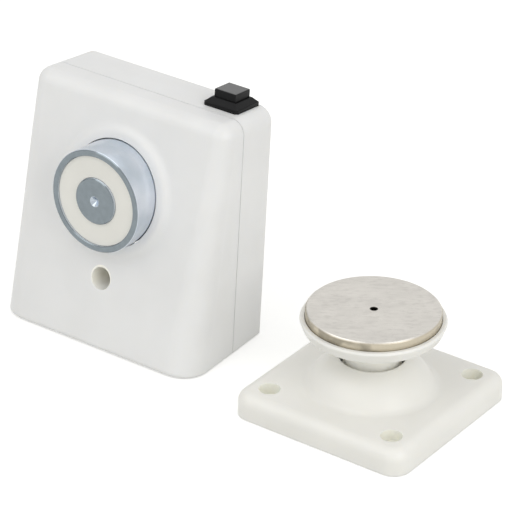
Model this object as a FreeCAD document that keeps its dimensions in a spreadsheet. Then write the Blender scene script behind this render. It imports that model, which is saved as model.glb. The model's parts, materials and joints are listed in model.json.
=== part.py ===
import FreeCAD, Part
import math
import os
import re
import Sketcher

# Electromagnetic door holder: a wall unit with a pot magnet and a release button,
# and a swivelling keeper for the door. Millimetres and degrees.
#
# The wall unit is drawn upright in its own frame: X right, Y into the wall, Z up,
# with the middle of its bottom back edge at the origin. It then leans back by the draft
# of its base, so that it stands on that face at Z = 0 as in the photograph.

V = FreeCAD.Vector
Place = FreeCAD.Placement
Turn = FreeCAD.Rotation
X_AXIS = V(1, 0, 0)
Z_AXIS = V(0, 0, 1)

SIZES = (
    ("case_w", 90.0, "case width at the wall"),
    ("case_h", 94.6, "case height at the wall"),
    ("side_draft", 2.4, "draft of both sides"),
    ("top_draft", 1.8, "draft of the top"),
    ("base_draft", 3.7, "draft of the base, and the lean when it stands on it"),
    ("front_slope", 10.75, "slope of the front face"),
    ("front_foot", 47.8, "depth of the front face at the level of the back edge"),
    ("stand_mid", 23.0, "from the back edge to the frame origin, along the base"),
    ("seam_depth", 18.5, "depth of the rear case"),
    ("seam_gap", 0.25, "gap between rear case and cover"),
    ("wall", 2.6, "moulding thickness"),
    ("back_wall", 3.0, "thickness of the wall behind"),
    ("top_round", 5.8, "rounding of the top edges"),
    ("side_round_high", 6.5, "rounding of the front corners at the top"),
    ("side_round_low", 11.5, "rounding of the front corners at the base"),
    ("foot_round", 2.4, "rounding of the base edge in front"),
    ("low_round", 0.8, "rounding of the base edges at the sides"),
    ("lip_gap", 0.12, "play of the locating lip inside the cover"),
    ("lip_wall", 1.5, "thickness of the locating lip"),
    ("lip_rise", 2.2, "height of the locating lip"),
    ("magnet_z", 59.0, "height of the magnet axis"),
    ("magnet_reach", 48.4, "depth of the magnet face"),
    ("pot_r", 20.4, "pot radius"),
    ("pot_wall", 2.5, "pot rim width"),
    ("pot_len", 28.0, "pot length"),
    ("pot_floor", 5.0, "pot floor thickness"),
    ("pot_edge", 0.5, "chamfer of the pot rim"),
    ("core_r", 9.2, "core radius"),
    ("core_edge", 0.4, "chamfer of the core face"),
    ("pit_r", 2.0, "radius of the centre pit in the core"),
    ("coil_recess", 1.0, "how far the coil flange lies behind the magnet face"),
    ("flange_thick", 1.2, "bobbin flange thickness"),
    ("bobbin_play", 0.1, "play of the bobbin in the pot and on the core"),
    ("bobbin_tube", 1.0, "bobbin tube thickness"),
    ("coil_r", 16.5, "winding radius"),
    ("coil_gap", 0.04, "play of the winding on the bobbin"),
    ("boss_r", 13.0, "radius of the boss behind the magnet"),
    ("pot_play", 0.3, "gap between cover and pot"),
    ("core_tap", 12.0, "length of core screw in the core"),
    ("screw_r", 2.5, "core screw radius"),
    ("screw_head_r", 4.75, "core screw head radius"),
    ("screw_head_h", 4.0, "core screw head height"),
    ("collar_r", 26.5, "radius of the raised ring at the front face"),
    ("collar_top_r", 24.0, "radius of the raised ring at its top"),
    ("collar_rise", 1.3, "height of the raised ring"),
    ("collar_top_round", 4.5, "rounding of the raised ring at its top"),
    ("collar_foot_round", 5.5, "rounding at the foot of the raised ring"),
    ("recess_z", 25.0, "height of the cover screw"),
    ("recess_r", 4.4, "radius of the screw recess"),
    ("recess_rim", 1.0, "rounding round the recess"),
    ("tube_r", 6.8, "radius of the tube behind the recess"),
    ("post_r", 4.5, "radius of the post that takes the cover screw"),
    ("post_depth", 21.0, "depth of the post"),
    ("tube_floor", 3.0, "thickness of the recess floor"),
    ("tapper_r", 1.75, "cover screw radius"),
    ("tapper_head_r", 3.5, "cover screw head radius"),
    ("tapper_head_h", 2.6, "cover screw head height"),
    ("fix_pitch", 60.3, "distance between the wall fixing holes"),
    ("fix_r", 2.25, "wall fixing hole radius"),
    ("fix_z", 40.0, "height of the wall fixing holes"),
    ("cable_r", 10.0, "cable entry radius"),
    ("cable_x", -21.0, "cable entry position across"),
    ("cable_z", 18.0, "cable entry height"),
    ("switch_inset", 13.4, "release switch from the side of the case"),
    ("switch_depth", 7.6, "release switch depth"),
    ("switch_flange_w", 15.8, "switch flange width"),
    ("switch_flange_d", 15.0, "switch flange depth"),
    ("switch_flange_t", 1.3, "switch flange thickness"),
    ("switch_corner", 1.0, "cut corners of the flange"),
    ("bezel_w", 11.2, "bezel width at its top"),
    ("bezel_d", 10.2, "bezel depth at its top"),
    ("bezel_h", 3.2, "bezel height above the case"),
    ("bezel_inset", 0.4, "bezel foot inside the flange's edges"),
    ("switch_w", 8.8, "switch body width"),
    ("switch_len", 15.0, "switch body length below the flange"),
    ("switch_wall", 0.9, "switch body wall"),
    ("switch_floor", 1.5, "switch body floor"),
    ("cap_w", 9.7, "button cap width"),
    ("cap_d", 8.9, "button cap depth"),
    ("cap_h", 6.5, "button cap height above the case"),
    ("cap_play", 0.15, "play of the cap in the bezel"),
    ("cap_low", 2.95, "underside of the cap above the case"),
    ("cap_floor", 0.4, "floor of the cap's recess above the case"),
    ("plunger_w", 5.5, "plunger width below the cap"),
    ("skirt_w", 6.7, "width of the plunger's stop"),
    ("stem_r", 1.1, "button stem radius"),
    ("stem_end", 8.0, "button stem end below the case top"),
    ("bridge_top", 6.0, "contact bridge below the case top"),
    ("bridge_t", 0.5, "contact bridge thickness"),
    ("bridge_l", 5.3, "contact bridge length"),
    ("bridge_w", 4.4, "contact bridge width"),
    ("contact_l", 0.9, "length of the fixed contacts"),
    ("tab_w", 2.4, "terminal tab width"),
    ("tab_t", 0.5, "terminal tab thickness"),
    ("tab_out", 4.5, "terminal tab length below the switch"),
    ("coil_spring_r", 1.75, "button spring radius to the wire centre"),
    ("spring_wire_r", 0.25, "button spring wire radius"),
    ("board_side", 6.0, "gap from the board to the side of the case"),
    ("board_foot", 8.0, "gap from the board to the foot of the case"),
    ("board_w", 32.0, "board width"),
    ("board_h", 26.0, "board height"),
    ("board_t", 1.6, "board thickness"),
    ("board_depth", 7.0, "depth of the back of the board"),
    ("board_post_r", 3.0, "board post radius"),
    ("board_screw_r", 1.25, "board screw radius"),
    ("pilot_gap", 0.02, "play of a screw in its pilot hole"),
    ("board_hole", 4.0, "board fixing from the board's edges"),
    ("block_w", 15.4, "terminal block width"),
    ("block_h", 9.0, "terminal block height"),
    ("block_d", 10.0, "terminal block depth"),
    ("block_pitch", 5.0, "terminal pitch"),
    ("block_drop", 6.5, "terminal block centre below the board centre"),
    ("lead_r", 0.75, "lead radius"),
    ("lead_gap", 0.05, "play between the two coil leads, on each side"),
    ("lead_hole_gap", 0.25, "play of the pair of leads in the pot"),
    ("lead_run", 3.0, "straight run of a lead where it leaves a piece"),
    ("lead_reach", 8.0, "how far a lead carries on before it bends away"),
    ("lead_pitch", 16.0, "distance between the leads on the board"),
    ("lead_edge", 2.2, "leads from the board's upper edge"),
    ("keeper_x", 108.5, "keeper centre across"),
    ("keeper_y", 5.8, "keeper centre, front to back"),
    ("plate_w", 74.6, "keeper plate side"),
    ("plate_t", 10.0, "keeper plate thickness"),
    ("plate_corner", 7.0, "keeper plate corner radius"),
    ("plate_edge", 4.5, "keeper plate edge rounding"),
    ("hole_pitch", 54.0, "keeper screw hole pitch"),
    ("hole_r", 2.25, "keeper screw hole radius"),
    ("bore_r", 4.1, "keeper counterbore radius"),
    ("bore_depth", 4.5, "keeper counterbore depth"),
    ("dome_r", 27.0, "dome radius"),
    ("dome_drop", 2.0, "dome centre below the plate's underside"),
    ("dome_top", 21.5, "dome height"),
    ("dome_foot", 4.0, "rounding at the foot of the dome"),
    ("mouth_r", 12.6, "dome opening radius"),
    ("pivot_z", 11.0, "height of the swivel centre"),
    ("ball_r", 12.9, "ball radius"),
    ("ball_cut", 8.5, "flat below the ball centre"),
    ("bush_gap", 0.3, "play on both sides of the bush"),
    ("bush_wall", 1.3, "bush thickness"),
    ("bush_up", 24.0, "latitude of the bush's upper edge"),
    ("bush_down", 12.0, "latitude of the bush's lower edge, downwards"),
    ("neck_r", 10.4, "neck radius"),
    ("neck_top", 26.6, "neck height"),
    ("head_gap", 0.1, "play between neck and cup"),
    ("ring_r", 20.5, "ball retainer radius"),
    ("ring_low", 0.6, "ball retainer above the ground"),
    ("ring_top", 4.0, "ball retainer top"),
    ("ring_screw_r", 17.4, "radius of the retainer screw circle"),
    ("ring_screw_d", 2.5, "retainer screw diameter"),
    ("hollow_r", 24.0, "inner radius of the hollow under the plate"),
    ("hollow_w", 32.0, "half width of the hollow under the plate"),
    ("hollow_cut", 16.0, "start of the hollow's cut corners"),
    ("hollow_depth", 3.5, "depth of the hollow under the plate"),
    ("cup_r", 27.2, "cup rim radius"),
    ("cup_rim", 37.6, "cup rim height"),
    ("cup_foot", 0.8, "how far the cup's foot stands out past the neck"),
    ("cup_bend_r", 23.8, "cup radius at its lower bend"),
    ("cup_bend_z", 31.8, "height of the cup's lower bend"),
    ("cup_wall", 2.4, "cup thickness"),
    ("cup_hub", 6.5, "cup hub radius"),
    ("disc_r", 25.2, "armature plate radius"),
    ("disc_t", 5.5, "armature plate thickness"),
    ("disc_top", 41.0, "armature plate height"),
    ("disc_edge", 0.6, "armature plate chamfer"),
    ("disc_play", 0.2, "play of the plate in the cup"),
    ("disc_hole", 1.25, "radius of the plate's centre hole"),
    ("stud_r", 2.45, "armature screw radius"),
    ("stud_head_r", 4.2, "armature screw head radius"),
    ("stud_head_h", 2.8, "armature screw head height"),
    ("washer_r", 4.8, "armature washer radius"),
    ("washer_t", 0.5, "washer thickness"),
)
NAMES = {size[0] for size in SIZES}
SWITCH_X = "(case_w / 2 - switch_inset)"
BOARD_X = "(case_w / 2 - board_side - board_w / 2)"
BOARD_Z = "(board_foot + board_h / 2)"

doc = FreeCAD.newDocument("door_holder")
sizes = doc.addObject("Spreadsheet::Sheet", "sizes")
for row, (alias, value, note) in enumerate(SIZES, 1):
    sizes.set(f"A{row}", note)
    sizes.set(f"B{row}", str(value))
    sizes.setAlias(f"B{row}", alias)
doc.recompute()

NODES = []


def ex(text):
    """An expression in the names of the sheet."""
    return re.sub(r"[A-Za-z_]\w*", lambda m: "sizes." + m.group() if m.group() in NAMES else m.group(), text)


def num(text):
    """The value of such an expression."""
    value = sizes.evalExpression(ex(text))
    return float(getattr(value, "Value", value))


def bind(thing, **texts):
    """Ties properties to expressions; a double underscore stands for a dot."""
    for name, text in texts.items():
        thing.setExpression(name.replace("__", "."), ex(text))


def node(thing, name):
    """Marks the object as a finished piece."""
    thing.Label = name
    NODES.append(thing)
    return thing


# Bodies and sketches


def body(name, place=None):
    made = doc.addObject("PartDesign::Body", name)
    if place is not None:
        made.Placement = place
    return made


def sketch(owner, role, name, offset="0"):
    made = owner.newObject("Sketcher::SketchObject", name)
    plane = next(f for f in owner.Origin.OriginFeatures if f.Role == role)
    made.AttachmentSupport = [(plane, "")]
    made.MapMode = "FlatFace"
    bind(made, AttachmentOffset__Base__z=offset)
    return made


def pin(sk, geo, point, x, y):
    """Holds a point of the sketch at x, y from its origin."""
    for kind, text, axis in (("DistanceX", x, -2), ("DistanceY", y, -1)):
        if text == "0":
            sk.addConstraint(Sketcher.Constraint("PointOnObject", geo, point, axis))
            continue
        index = sk.addConstraint(Sketcher.Constraint(kind, -1, 1, geo, point, num(text)))
        sk.setExpression(f"Constraints[{index}]", ex(text))


def polygon(sk, points):
    spots = [V(num(x), num(y), 0) for x, y in points]
    lines = []
    for index, start in enumerate(spots):
        end = spots[(index + 1) % len(spots)]
        lines.append(sk.addGeometry(Part.LineSegment(start, end), False))
    for index, line in enumerate(lines):
        follower = lines[(index + 1) % len(lines)]
        sk.addConstraint(Sketcher.Constraint("Coincident", line, 2, follower, 1))
    for line, (x, y) in zip(lines, points):
        pin(sk, line, 1, x, y)
    return sk


def rectangle(sk, x, y, w, h):
    """A rectangle of width w and height h around x, y."""
    low_x = f"({x}) - ({w}) / 2"
    high_x = f"({x}) + ({w}) / 2"
    low_y = f"({y}) - ({h}) / 2"
    high_y = f"({y}) + ({h}) / 2"
    return polygon(sk, ((low_x, low_y), (high_x, low_y), (high_x, high_y), (low_x, high_y)))


def circle(sk, x, y, radius):
    geo = sk.addGeometry(Part.Circle(V(num(x), num(y), 0), Z_AXIS, num(radius)), False)
    pin(sk, geo, 3, x, y)
    index = sk.addConstraint(Sketcher.Constraint("Radius", geo, num(radius)))
    sk.setExpression(f"Constraints[{index}]", ex(radius))
    return sk


def pad(owner, sk, length, name, reverse=False):
    made = owner.newObject("PartDesign::Pad", name)
    made.Profile = sk
    made.Reversed = reverse
    bind(made, Length=length)
    return made


def pocket(owner, sk, length, name, reverse=False):
    made = owner.newObject("PartDesign::Pocket", name)
    made.Profile = sk
    made.Reversed = reverse
    bind(made, Length=length)
    return made


def turned(name, points, place):
    """A body turned about its own Z axis from a profile of radius and height."""
    made = body(name, place)
    sk = polygon(sketch(made, "XZ_Plane", name + "_profile"), points)
    turn = made.newObject("PartDesign::Revolution", name + "_turn")
    turn.Profile = sk
    turn.ReferenceAxis = (sk, ["V_Axis"])
    turn.Angle = 360
    return made


def ball(owner, kind, name, radius, height, low="-90", high="90"):
    made = owner.newObject("PartDesign::" + kind, name)
    bind(made, Radius=radius, Angle1=low, Angle2=high, Placement__Base__z=height)
    return made


# Solids for booleans


def rod(name, x, z, near, far, radius):
    """A cylinder along the depth of the wall unit, from one depth to a greater one."""
    made = doc.addObject("Part::Cylinder", name)
    made.Placement = Place(V(), Turn(X_AXIS, 90))
    bind(made, Radius=radius, Height=f"({far}) - ({near})")
    bind(made, Placement__Base__x=x, Placement__Base__y=f"-({near})", Placement__Base__z=z)
    return made


def slab(name, near, far):
    """Everything of the wall unit between two depths."""
    made = doc.addObject("Part::Box", name)
    bind(made, Length="2 * case_w", Width=f"({far}) - ({near})", Height="2 * case_h")
    bind(made, Placement__Base__x="-case_w", Placement__Base__y=f"-({far})", Placement__Base__z="-case_h / 2")
    return made


def fuse(name, *things):
    made = doc.addObject("Part::MultiFuse", name)
    made.Shapes = list(things)
    made.Refine = True
    return made


def common(name, *things):
    made = doc.addObject("Part::MultiCommon", name)
    made.Shapes = list(things)
    return made


def cut(name, base, tool):
    made = doc.addObject("Part::Cut", name)
    made.Base = base
    made.Tool = tool
    made.Refine = True
    return made


def group(name, things):
    """Several alike pieces as one node."""
    made = doc.addObject("Part::Compound", name)
    made.Links = things
    return made


def rounded(name, base, edges):
    """Fillets with a radius for each end of each edge."""
    made = doc.addObject("Part::Fillet", name)
    made.Base = base
    made.Edges = edges
    doc.recompute()
    return made


# Frames

UNIT = Place(V(0, num("stand_mid"), 0), Turn(X_AXIS, -num("base_draft")))
FRONT = UNIT.multiply(Place(V(), Turn(X_AXIS, 90)))
MAGNET = FRONT.multiply(Place(V(0, num("magnet_z"), 0), Turn()))
SWITCH_SPOT = Place(
    V(num(SWITCH_X), -num("switch_depth"), num("case_h + switch_depth * tan(top_draft)")),
    Turn(X_AXIS, -num("top_draft")),
)
SWITCH = UNIT.multiply(SWITCH_SPOT)
KEEPER = Place(V(num("keeper_x"), num("keeper_y"), 0), Turn())


# The case: one outer form for cover and rear case, and the same form inset for the room inside


def form(name, inset, back):
    """The case form, moved inwards by inset, with its rounded edges."""
    foot = f"(front_foot - ({inset}) / cos(front_slope))"
    low_y = f"(-{foot} + ({inset}) * tan(front_slope)) / (1 - tan(base_draft) * tan(front_slope))"
    high_y = f"(-{foot} + (case_h - ({inset})) * tan(front_slope)) / (1 + tan(top_draft) * tan(front_slope))"
    back_y = f"-({back})" if back != "0" else "0"

    def low(y):
        return f"({y}) * tan(base_draft) + ({inset})" if inset != "0" else f"({y}) * tan(base_draft)"

    def high(y):
        return f"case_h - ({inset}) - ({y}) * tan(top_draft)"

    made = body(name)
    outline = sketch(made, "YZ_Plane", name + "_side")
    corner = ("0", "0") if inset == "0" else (back_y, low(back_y))
    polygon(outline, (corner, (low_y, low(low_y)), (high_y, high(high_y)), (back_y, high(back_y))))
    block_pad = pad(made, outline, "2 * case_w", name + "_pad")
    block_pad.Midplane = True
    half = f"case_w / 2 - ({inset})"
    far = "case_h"
    flare = f"{half} + {far} * tan(side_draft)"
    for side, sign in (("right", ""), ("left", "-")):
        cheek = sketch(made, "XY_Plane", f"{name}_{side}", "-case_h")
        polygon(cheek, (
            (f"{sign}({half} - case_h * tan(side_draft))", "case_h"),
            (f"{sign}({flare})", f"-{far}"),
            (f"{sign}(2 * case_w)", f"-{far}"),
            (f"{sign}(2 * case_w)", "case_h"),
        ))
        pocket(made, cheek, "4 * case_h", f"{name}_{side}_cut", True)
    doc.recompute()

    lean = math.tan(math.radians(num("front_slope")))
    spread = math.tan(math.radians(num("side_draft")))
    rise = math.tan(math.radians(num("top_draft")))
    fall = math.tan(math.radians(num("base_draft")))

    def front_side(p):
        return p.y + num(foot) - p.z * lean

    def cheek_side(p):
        return abs(p.x) - num(half) + p.y * spread

    def top_side(p):
        return p.z - num(f"case_h - ({inset})") + p.y * rise

    def base_side(p):
        return p.z - p.y * fall - num(inset)

    def back_side(p):
        return p.y - num(back_y)

    def lies_on(edge, side):
        first, last = edge.ParameterRange
        spots = (edge.valueAt(first + (last - first) * k / 4) for k in range(5))
        return all(abs(side(p)) < 0.01 for p in spots)

    def pick(shape, *sides, but=None):
        return [
            (index, edge) for index, edge in enumerate(shape.Edges, 1)
            if all(lies_on(edge, side) for side in sides) and not (but and lies_on(edge, but))
        ]

    inward = num(inset)
    high_r = num("side_round_high") - inward
    low_r = num("side_round_low") - inward
    corners = []
    for index, edge in pick(made.Shape, front_side, cheek_side):
        upward = edge.valueAt(edge.LastParameter).z > edge.valueAt(edge.FirstParameter).z
        corners.append((index, low_r, high_r) if upward else (index, high_r, low_r))
    shaped = rounded(name + "_corners", made, corners)
    top_r = num("top_round") - inward
    edges = [(i, top_r, top_r) for i, _ in pick(shaped.Shape, top_side, but=back_side)]
    shaped = rounded(name + "_top", shaped, edges)
    if inset == "0":
        side_r = num("low_round")
        foot_r = num("foot_round")

        def base_r(p):
            return foot_r if abs(front_side(p)) < 0.01 else side_r

        edges = [
            (i, base_r(e.valueAt(e.FirstParameter)), base_r(e.valueAt(e.LastParameter)))
            for i, e in pick(shaped.Shape, base_side, but=back_side)
        ]
        shaped = rounded(name + "_base", shaped, edges)
    return shaped


outer = form("outer_form", "0", "0")
room = form("room_form", "wall", "back_wall")
lip_out = form("lip_form", "wall + lip_gap", "back_wall")
lip_in = form("lip_room", "wall + lip_gap + lip_wall", "back_wall")

# Front cover

cover_part = common("cover_part", outer, slab("cover_slab", "seam_depth + seam_gap", "2 * case_h"))
cover_shell = cut("cover_shell", cover_part, room)
collar = doc.addObject("Part::Cone", "collar")
collar.Placement = Place(V(), Turn(X_AXIS, 90 - num("front_slope")))
bind(
    collar,
    Radius1="collar_r + (collar_r - collar_top_r) / collar_rise * wall / 2",
    Radius2="collar_top_r",
    Height="collar_rise + wall / 2",
    Placement__Base__y="-front_foot + magnet_z * tan(front_slope) + wall / 2 * cos(front_slope)",
    Placement__Base__z="magnet_z - wall / 2 * sin(front_slope)",
)
tube_end = "front_foot - recess_z * tan(front_slope) - wall / 2"
tube = rod("screw_tube", "0", "recess_z", "post_depth", tube_end, "tube_r")
rim = doc.addObject("Part::Cone", "recess_rim_cut")
rim.Placement = Place(V(), Turn(X_AXIS, 90 - num("front_slope")))
bind(
    rim,
    Radius1="recess_r - recess_rim",
    Radius2="recess_r + recess_rim",
    Height="2 * recess_rim",
    Placement__Base__y="-front_foot + recess_z * tan(front_slope) + recess_rim * cos(front_slope)",
    Placement__Base__z="recess_z - recess_rim * sin(front_slope)",
)
floor_front = "post_depth + tube_floor"
cover_cuts = fuse(
    "cover_cuts",
    rod("pot_opening", "0", "magnet_z", "seam_depth", "2 * front_foot", "pot_r + pot_play"),
    rod("recess_bore", "0", "recess_z", floor_front, "2 * front_foot", "recess_r"),
    rod("recess_clearance", "0", "recess_z", "post_depth - 1", f"{floor_front} + 1", "tapper_r + 0.25"),
    rim,
)
cover_solid = fuse("cover_solid", cover_shell, collar, tube)
doc.recompute()
collar_rounds = []
for index, edge in enumerate(cover_solid.Shape.Edges, 1):
    for around, radius in (("collar_top_r", "collar_top_round"), ("collar_r", "collar_foot_round")):
        if isinstance(edge.Curve, Part.Circle) and abs(edge.Curve.Radius - num(around)) < 1e-3:
            collar_rounds.append((index, num(radius), num(radius)))
cover_soft = rounded("cover_soft", cover_solid, collar_rounds)
front_cover = cut("front_cover", cover_soft, cover_cuts)
front_cover.Placement = UNIT
node(front_cover, "front_cover")

# Rear case

rear_part = common("rear_part", outer, slab("rear_slab", "0", "seam_depth"))
lip_part = common("lip_part", lip_out, slab("lip_slab", "seam_depth - 1", "seam_depth + lip_rise"))
rear_room = fuse(
    "rear_room", common("rear_room_back", room, slab("room_slab", "0", "seam_depth - 3")), lip_in,
)
rear_shell = cut("rear_shell", fuse("rear_blank", rear_part, lip_part), rear_room)
boss_end = "magnet_reach - pot_len"
board_pilot = "board_screw_r + pilot_gap"
board_left = f"{BOARD_X} - board_w / 2 + board_hole"
board_right = f"{BOARD_X} + board_w / 2 - board_hole"
board_low = "board_foot + board_hole"
board_high = "board_foot + board_h - board_hole"
rear_solid = fuse(
    "rear_solid",
    rear_shell,
    rod("magnet_boss", "0", "magnet_z", "back_wall / 2", boss_end, "boss_r"),
    rod("cover_post", "0", "recess_z", "back_wall / 2", "post_depth", "post_r"),
    rod("board_post_a", board_left, board_high, "back_wall / 2", "board_depth", "board_post_r"),
    rod("board_post_b", board_right, board_low, "back_wall / 2", "board_depth", "board_post_r"),
)
switch_cut = doc.addObject("Part::Box", "switch_cut")
switch_cut.Placement = SWITCH_SPOT.multiply(
    Place(V(-num("switch_w + 0.3") / 2, -num("switch_w + 0.3") / 2, -num("3 * wall")), Turn())
)
bind(switch_cut, Length="switch_w + 0.3", Width="switch_w + 0.3", Height="4 * wall")
rear_cuts = fuse(
    "rear_cuts",
    rod("fix_hole_a", "fix_pitch / 2", "fix_z", "-1", "back_wall + 1", "fix_r"),
    rod("fix_hole_b", "-fix_pitch / 2", "fix_z", "-1", "back_wall + 1", "fix_r"),
    rod("cable_hole", "cable_x", "cable_z", "-1", "back_wall + 1", "cable_r"),
    rod("boss_bore", "0", "magnet_z", "-1", "pot_len", "screw_r + 0.25"),
    rod("boss_sink", "0", "magnet_z", "-1", "screw_head_h + washer_t + 1", "screw_head_r + 0.75"),
    rod("post_pilot", "0", "recess_z", "6", "post_depth + 1", "tapper_r + pilot_gap"),
    rod("board_pilot_a", board_left, board_high, "back_wall", "board_depth + 1", board_pilot),
    rod("board_pilot_b", board_right, board_low, "back_wall", "board_depth + 1", board_pilot),
    switch_cut,
)
rear_case = cut("rear_case", rear_solid, rear_cuts)
rear_case.Placement = UNIT
node(rear_case, "rear_case")

# Magnet, turned about its own axis with heights measured as depth from the wall

pot_back = "magnet_reach - pot_len"
pot_in = "magnet_reach - pot_len + pot_floor"
pot = turned("magnet_pot", (
    ("screw_r + 0.25", pot_back),
    ("pot_r - 1", pot_back),
    ("pot_r", f"{pot_back} + 1"),
    ("pot_r", "magnet_reach - pot_edge"),
    ("pot_r - pot_edge", "magnet_reach"),
    ("pot_r - pot_wall + pot_edge / 2", "magnet_reach"),
    ("pot_r - pot_wall", "magnet_reach - pot_edge / 2"),
    ("pot_r - pot_wall", pot_in),
    ("screw_r + 0.25", pot_in),
), MAGNET)
lead_ring = "(pot_r - pot_wall - 2)"
lead_hole = circle(
    sketch(pot, "XY_Plane", "lead_hole", f"{pot_back} - 1"),
    f"{lead_ring} * sin(30)", f"-{lead_ring} * cos(30)", "2 * lead_r + lead_gap + lead_hole_gap",
)
pocket(pot, lead_hole, "pot_floor + 2", "lead_hole_cut", True)
node(pot, "magnet_pot")

core = turned("magnet_core", (
    ("0", f"{pot_in} + core_tap"),
    ("screw_r", f"{pot_in} + core_tap"),
    ("screw_r", pot_in),
    ("core_r", pot_in),
    ("core_r", "magnet_reach - core_edge"),
    ("core_r - core_edge", "magnet_reach"),
    ("pit_r", "magnet_reach"),
    ("0", "magnet_reach - pit_r"),
), MAGNET)
node(core, "magnet_core")

bobbin_front = "magnet_reach - coil_recess"
bobbin_back = f"{pot_in} + bobbin_play"
tube_in = "core_r + bobbin_play"
tube_out = "core_r + bobbin_play + bobbin_tube"
flange_r = "pot_r - pot_wall - bobbin_play"
bobbin = turned("coil_bobbin", (
    (tube_in, bobbin_back),
    (flange_r, bobbin_back),
    (flange_r, f"{bobbin_back} + flange_thick"),
    (tube_out, f"{bobbin_back} + flange_thick"),
    (tube_out, f"{bobbin_front} - flange_thick"),
    (flange_r, f"{bobbin_front} - flange_thick"),
    (flange_r, bobbin_front),
    (tube_in, bobbin_front),
), MAGNET)
node(bobbin, "coil_bobbin")

coil_in = f"{tube_out} + coil_gap"
coil_back = f"{bobbin_back} + flange_thick + coil_gap"
coil_front = f"{bobbin_front} - flange_thick - coil_gap"
winding = turned("coil_winding", (
    (coil_in, coil_back), ("coil_r", coil_back), ("coil_r", coil_front), (coil_in, coil_front),
), MAGNET)
node(winding, "coil_winding")

head_near = "1"
core_screw = turned("core_screw", (
    ("0", f"{head_near} + screw_head_h / 2"),
    ("screw_r * 0.8", f"{head_near} + screw_head_h / 2"),
    ("screw_r * 0.8", head_near),
    ("screw_head_r", head_near),
    ("screw_head_r", f"{head_near} + screw_head_h"),
    ("screw_r", f"{head_near} + screw_head_h"),
    ("screw_r", f"{pot_in} + core_tap - 1.5"),
    ("0", f"{pot_in} + core_tap - 0.5"),
), MAGNET)
node(core_screw, "core_screw")

washer = turned("core_washer", (
    ("screw_r + 0.1", f"{head_near} + screw_head_h"),
    ("screw_head_r + 0.4", f"{head_near} + screw_head_h"),
    ("screw_head_r + 0.4", f"{head_near} + screw_head_h + washer_t"),
    ("screw_r + 0.1", f"{head_near} + screw_head_h + washer_t"),
), MAGNET)
node(washer, "core_washer")

# Screws


def pan_screw(name, place, radius, length, head_r, head_h, drive):
    """A pan-headed screw with its shank down from the origin; the drive is cross or slot."""
    made = turned(name, (
        ("0", f"-({length})"),
        (radius, f"-({length}) + ({radius})"),
        (radius, "0"),
        (head_r, "0"),
        (head_r, f"({head_h}) * 0.45"),
        (f"({head_r}) * 0.72", head_h),
        ("0", head_h),
    ), place)
    recess = sketch(made, "XY_Plane", name + "_drive", head_h)
    wide = f"({head_r}) * 1.1" if drive == "cross" else f"({head_r}) * 3"
    thin = f"({head_r}) * 0.26"
    if drive == "cross":
        arm = f"({wide}) / 2"
        edge = f"({thin}) / 2"
        polygon(recess, (
            (arm, f"-{edge}"), (arm, edge), (edge, edge), (edge, arm), (f"-{edge}", arm), (f"-{edge}", edge),
            (f"-{arm}", edge), (f"-{arm}", f"-{edge}"), (f"-{edge}", f"-{edge}"), (f"-{edge}", f"-{arm}"),
            (edge, f"-{arm}"), (edge, f"-{edge}"),
        ))
    else:
        rectangle(recess, "0", "0", wide, thin)
    pocket(made, recess, f"({head_h}) * 0.55", name + "_drive_cut")
    return made


cover_screw = pan_screw(
    "cover_screw",
    FRONT.multiply(Place(V(0, num("recess_z"), num("post_depth + tube_floor")), Turn(Z_AXIS, 20))),
    "tapper_r", "post_depth + tube_floor - 7.5", "tapper_head_r", "tapper_head_h", "cross",
)
node(cover_screw, "cover_screw")

# Board with its terminal block and diode, drawn as seen from the front

board = body("circuit_board", FRONT)
board_face = sketch(board, "XY_Plane", "board_outline", "board_depth")
rectangle(board_face, BOARD_X, BOARD_Z, "board_w", "board_h")
circle(board_face, board_left, board_high, "board_screw_r + 0.35")
circle(board_face, board_right, board_low, "board_screw_r + 0.35")
pad(board, board_face, "board_t", "board_pad")
node(board, "circuit_board")

board_screws = []
for side, across, height in (("a", board_left, board_high), ("b", board_right, board_low)):
    spot = FRONT.multiply(Place(V(num(across), num(height), num("board_depth + board_t")), Turn(Z_AXIS, 30)))
    name = f"board_screw_{side}"
    board_screws.append(pan_screw(name, spot, "board_screw_r", "5", "2.6", "1.9", "cross"))
node(group("board_screws", board_screws), "board_screws")

block_z = f"({BOARD_Z} - block_drop)"
block_back = "board_depth + board_t"
terminal = body("terminal_block", FRONT)
terminal_face = sketch(terminal, "XY_Plane", "block_outline", block_back)
rectangle(terminal_face, BOARD_X, block_z, "block_w", "block_h")
pad(terminal, terminal_face, "block_d", "block_pad")
wells = sketch(terminal, "XY_Plane", "block_wells", f"{block_back} + block_d")
mouths = sketch(terminal, "XZ_Plane", "block_mouths", f"-({block_z} - block_h / 2)")
terminal_screws = []
for index in (-1, 0, 1):
    across = f"{BOARD_X} + {index} * block_pitch"
    circle(wells, across, block_z, "1.9")
    rectangle(mouths, across, f"{block_back} + 3.2", "3", "3.4")
    spot = FRONT.multiply(Place(
        V(num(across), num(block_z), num(f"{block_back} + block_d - 2.4")), Turn(Z_AXIS, 20 * index + 40),
    ))
    name = f"terminal_screw_{index + 2}"
    terminal_screws.append(pan_screw(name, spot, "1.3", "2.2", "1.75", "1.2", "slot"))
pocket(terminal, wells, "5", "block_wells_cut")
pocket(terminal, mouths, "5", "block_mouths_cut", True)
node(terminal, "terminal_block")
node(group("terminal_screws", terminal_screws), "terminal_screws")

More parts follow.
